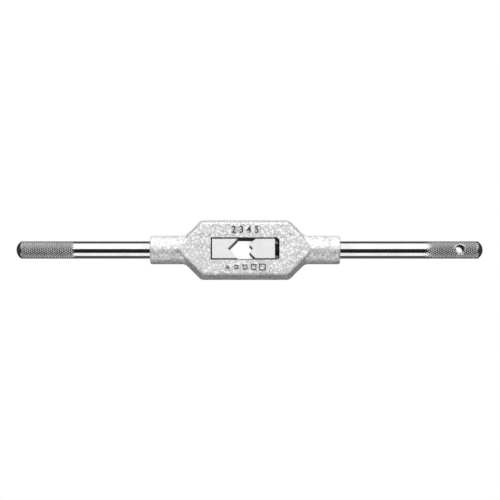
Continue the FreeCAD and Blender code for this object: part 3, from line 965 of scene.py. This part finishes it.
@dataclass
class ScrewHandle(Handle):
    """The adjusting handle, with a bevelled cross hole in its grip.

    Attributes:
        hole_radius: Radius of the cross hole.
        hole_setback: Distance of the hole from the handle's end.
        hole_lean: Lean of the hole about the handle, in degrees.
        hole_bevel: Width of the bevel of its mouths.
        hole_land: Width of the levelled knurl around its mouths.
        land_height: Radius of the land about the handle's axis.
    """

    hole_radius: float = 1.6 * MM
    hole_setback: float = 9.05 * MM
    hole_lean: float = 5.0
    hole_bevel: float = 0.35 * MM
    hole_land: float = 0.5 * MM
    land_height: float = 3.26 * MM

    @property
    def hole_place(self) -> float:
        """Place of the cross hole along X."""
        end = self.mouth + self.shank + self.grip + self.dome
        return end - self.hole_setback

    def from_hole(self, place: Vector) -> float:
        """Returns a point's distance from the cross hole's axis."""
        lean = math.radians(self.hole_lean)
        side = place.y * math.cos(lean) - place.z * math.sin(lean)
        return math.hypot(place.x - self.hole_place, side)

    def part_of(self, place: Vector) -> HandlePart:
        """Tells a face's part; the hole's wall gets painted shade and its land is smooth.
        """
        beyond = self.from_hole(place) - self.hole_radius
        # The cross hole's wall is painted dark: painted shade in the hole.
        if beyond < 0.02 * MM:
            return HandlePart.OILED
        if beyond < 0.8 * self.hole_land:
            return HandlePart.SHANK
        return super().part_of(place)

    def work(self, piece: bpy.types.Object) -> None:
        """Levels the knurl around the cross hole and cuts the hole."""
        take(piece)
        bpy.ops.object.mode_set(mode="EDIT")
        near = self.hole_radius + self.hole_land
        middle = self.radius - self.knurl.depth / 2
        low = self.radius - self.knurl.depth
        for old, above in ((self.radius, True), (low, False)):
            pick_points(piece, lambda point: self.from_hole(point) < near
                        and radius_of(point) > low - 0.05 * MM
                        and (radius_of(point) > middle) == above)
            level = self.land_height / old
            bpy.ops.transform.resize(
                value=(1, level, level), center_override=(0, 0, 0))
        bpy.ops.object.mode_set(mode="OBJECT")
        reach = self.radius + 1.0 * MM
        flare = self.land_height - self.hole_bevel
        wide = self.hole_radius + reach - flare
        rings = [(-reach, wide), (-flare, self.hole_radius),
                 (flare, self.hole_radius), (reach, wide)]
        tool = draw_rings("cross_drill", rings, 48)
        for place in (-reach, reach):
            close_ring(tool, place, pole=False)
        tidy_mesh(tool)
        tool.matrix_world = (
            Matrix.Translation((self.hole_place, 0, 0))
            @ Matrix.Rotation(-math.radians(self.hole_lean), 4, "X")
            @ Matrix.Rotation(-math.pi / 2, 4, "Y"))
        settle(tool)
        cut_away(piece, tool)


@dataclass
class Casting:
    """The cast frame, with raised numerals for the squares it takes.

    Attributes:
        finishes: The wrench's finishes.
        numerals: The sizes of squares in millimetres.
        width: Width of the line of numerals.
        height: Height of the numerals.
        rise: How far the numerals stand above the face.
        sunk: How far they reach into it.
        away: Distance of their middle from the handles' axis.
        face: Height of the flat face above the axis.
    """

    finishes: Finishes
    numerals: str = "2 3 4 5"
    width: float = 10.4 * MM
    height: float = 2.8 * MM
    rise: float = 0.2 * MM
    sunk: float = 0.1 * MM
    away: float = 7.4 * MM
    face: float = field(init=False)

    def __post_init__(self) -> None:
        """Reads the face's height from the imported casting."""
        self.face = -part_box("frame_casting")[0].z

    def build_numerals(self) -> bpy.types.Object:
        """Models the raised numerals and returns them."""
        start_alone()
        bpy.ops.object.text_add(location=(0, 0, 0))
        text = bpy.context.active_object
        text.data.body = self.numerals
        text.data.align_x = "CENTER"
        text.data.align_y = "CENTER"
        text.data.extrude = 0.1
        text.data.offset = 0.012
        text.data.resolution_u = 4
        bpy.ops.object.convert(target="MESH")
        text = bpy.context.active_object
        text.name = "capacity_numerals"
        low = Vector(map(min, *[point.co for point in text.data.vertices]))
        high = Vector(map(max, *[point.co for point in text.data.vertices]))
        size = Vector((self.width, self.height, self.rise + self.sunk))
        across, up, thick = (
            new / old for new, old in zip(size, high - low))
        text.scale = (across, up, thick)
        frame_low, frame_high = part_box("frame_casting")
        text.location = (
            (frame_low.x + frame_high.x) / 2 - across * (low.x + high.x) / 2,
            self.away - up * (low.y + high.y) / 2,
            self.face + (self.rise - self.sunk) / 2)
        settle(text)
        tidy_mesh(text)
        smooth_by_angle(text, CAST_EDGE)
        dress(text, self.finishes.zinc)
        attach(text, "frame")
        return text

    def build(self) -> bpy.types.Object:
        """Dresses the casting and returns its numerals."""
        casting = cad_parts["frame_casting"]
        dress(casting, self.finishes.zinc)
        return self.build_numerals()


@dataclass(frozen=True)
class Jaws:
    """The ground jaws and the pins inside the movable one.

    Attributes:
        finishes: The wrench's finishes.
        jaws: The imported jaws.
        pins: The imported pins.
    """

    finishes: Finishes
    jaws: tuple[str, ...] = ("fixed_jaw", "movable_jaw")
    pins: str = "jaw_pins"

    def build(self) -> None:
        """Dresses the jaws and the pins."""
        for name in self.jaws:
            dress(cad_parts[name], self.finishes.ground)
        dress(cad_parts[self.pins], self.finishes.pin)


# --- studio ----------------------------------------------------------------


@dataclass(frozen=True)
class Softbox:
    """A long soft light that runs along the wrench.

    Attributes:
        name: The light's name.
        start: Lowest angle it covers, from straight up towards +Y, degrees.
        end: Highest angle it covers.
        radiance: Brightness of its face.
        glossy: Whether bright metal shows it.
        distance: Distance of its middle from the wrench.
        length: Its length along X.
    """

    name: str
    start: float
    end: float
    radiance: float
    glossy: bool = True
    distance: float = 0.6
    length: float = 1.2

    def build(self) -> None:
        """Adds the light."""
        half = math.radians(self.end - self.start) / 2
        middle = math.radians(self.start + self.end) / 2
        width = 2 * self.distance * math.tan(half)
        light = bpy.data.lights.new(self.name, "AREA")
        light.shape = "RECTANGLE"
        light.size = self.length
        light.size_y = width
        light.energy = self.radiance * math.pi * self.length * width
        holder = bpy.data.objects.new(self.name, light)
        bpy.context.scene.collection.objects.link(holder)
        holder.location = self.distance * Vector(
            (0, math.sin(middle), math.cos(middle)))
        holder.rotation_euler = (-middle, 0, 0)
        holder.visible_camera = False
        holder.visible_glossy = self.glossy


@dataclass(frozen=True)
class Studio:
    """A plain pale floor, soft lights and the camera.

    Attributes:
        elevation: The camera's angle above the horizon, degrees.
        distance: Its distance from the point that it looks at.
        aim: The place along X that it looks at.
        lens: Focal length for a 36 mm sensor.
        floor: Size of the floor.
        matte: Grey of the floor that the wrench is lit by.
        nook: Reach of the shade in narrow nooks over the floor.
        gloom: Brightness of the room that the metal reflects.
        ground: Brightness of the ground that the metal reflects.
        ends: Brightness of the room's far ends, along X.
        lights: The softboxes; those that metal does not show only fill.
    """

    elevation: float = 84.5
    distance: float = 0.542
    aim: float = 3.6 * MM
    lens: float = 101.0
    floor: float = 4.0
    matte: float = 0.25
    nook: float = 5.0 * MM
    gloom: float = 0.015
    ground: float = 0.09
    ends: float = 0.22
    lights: tuple[Softbox, ...] = (
        Softbox("upper_softbox", 8.0, 90.0, 1.1),
        Softbox("lower_softbox", -90.0, -46.0, 1.0),
        Softbox("overhead_fill", -5.0, 88.0, 1.4, glossy=False),
        Softbox("side_fill", 60.0, 89.0, 2.1, glossy=False))

    def build_floor(self, height: float) -> None:
        """Adds the pale floor at a height."""
        start_alone()
        bpy.ops.mesh.primitive_plane_add(
            size=self.floor, location=(0, 0, height))
        floor = bpy.context.active_object
        floor.name = "studio_floor"
        material = bpy.data.materials.new("pale_floor")
        material.use_nodes = True
        tree = material.node_tree
        tree.nodes.clear()
        matte = tree.nodes.new("ShaderNodeBsdfDiffuse")
        matte.inputs["Color"].default_value = (*[self.matte] * 3, 1)
        glow = tree.nodes.new("ShaderNodeEmission")
        nook = tree.nodes.new("ShaderNodeAmbientOcclusion")
        nook.inputs["Distance"].default_value = self.nook
        nook.samples = 8
        shade = add_range(tree, nook.outputs["AO"], (0.1, 0.3), (0.02, 1))
        tree.links.new(shade, glow.inputs["Color"])
        path = tree.nodes.new("ShaderNodeLightPath")
        mix = tree.nodes.new("ShaderNodeMixShader")
        out = tree.nodes.new("ShaderNodeOutputMaterial")
        tree.links.new(path.outputs["Is Camera Ray"], mix.inputs["Fac"])
        tree.links.new(matte.outputs["BSDF"], mix.inputs[1])
        tree.links.new(glow.outputs["Emission"], mix.inputs[2])
        clear = tree.nodes.new("ShaderNodeBsdfTransparent")
        side = tree.nodes.new("ShaderNodeNewGeometry")
        under = tree.nodes.new("ShaderNodeMixShader")
        tree.links.new(side.outputs["Backfacing"], under.inputs["Fac"])
        tree.links.new(mix.outputs["Shader"], under.inputs[1])
        tree.links.new(clear.outputs["BSDF"], under.inputs[2])
        tree.links.new(under.outputs["Shader"], out.inputs["Surface"])
        floor.data.materials.append(material)
        floor.visible_glossy = False
        floor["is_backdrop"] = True

    def build_world(self) -> None:
        """Makes the room white to look at and dim to reflect."""
        world = bpy.data.worlds.new("studio_room")
        bpy.context.scene.world = world
        world.use_nodes = True
        tree = world.node_tree
        back = tree.nodes["Background"]
        path = tree.nodes.new("ShaderNodeLightPath")
        direction = tree.nodes.new("ShaderNodeTexCoord")
        parts = split(tree, direction.outputs["Generated"])
        dim = add_range(
            tree, parts["Z"], (-0.1, 0.1), (self.ground, self.gloom))
        aside = add_math(tree, "ABSOLUTE", parts["X"])
        ends = add_range(tree, aside, (0.6, 0.95), (0, self.ends))
        level = add_math(
            tree, "MAXIMUM", path.outputs["Is Camera Ray"],
            add_math(tree, "MAXIMUM", dim, ends))
        tree.links.new(level, back.inputs["Strength"])
        back.inputs["Color"].default_value = (1, 1, 1, 1)

    def build_camera(self) -> None:
        """Adds the camera and makes it the scene's."""
        lens = bpy.data.cameras.new("studio_camera")
        lens.lens = self.lens
        lens.sensor_width = 36.0
        camera = bpy.data.objects.new("studio_camera", lens)
        bpy.context.scene.collection.objects.link(camera)
        rise = math.radians(self.elevation)
        back = Vector((0, -math.cos(rise), math.sin(rise)))
        camera.location = Vector((self.aim, 0, 0)) + back * self.distance
        camera.rotation_euler = (math.pi / 2 - rise, 0, 0)
        bpy.context.scene.camera = camera

    def build(self) -> None:
        """Builds the whole studio."""
        self.build_floor(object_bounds()[0].z)
        self.build_world()
        for light in self.lights:
            light.build()
        self.build_camera()
        scene = bpy.context.scene
        scene.view_settings.view_transform = "Standard"
        scene.view_settings.look = "None"
        # Keeps the knurls' fine teeth, which a filtered guide blurs away.
        scene.cycles.denoising_prefilter = "NONE"


def main() -> None:
    """Builds the wrench and the studio in order and logs each piece."""
    logging.basicConfig(level=logging.INFO)
    build_mottle()
    build_lines()
    build_seam()
    finishes = make_finishes()
    handle_radius = 3.35 * MM
    pieces = [
        Casting(finishes).build(),
        Handle(finishes, "fixed_handle", "frame", -1, 29.9 * MM,
               Knurl(handle_radius)).build(),
        ScrewHandle(finishes, "adjusting_handle", "screw_handle", 1,
                    33.3 * MM, Knurl(handle_radius, fade_in=4)).build(),
    ]
    Jaws(finishes).build()
    for piece in pieces:
        LOG.info("%s: %d faces", piece.name, len(piece.data.polygons))
    Studio().build()
    bpy.context.view_layer.update()


if __name__ == "__main__":
    main()
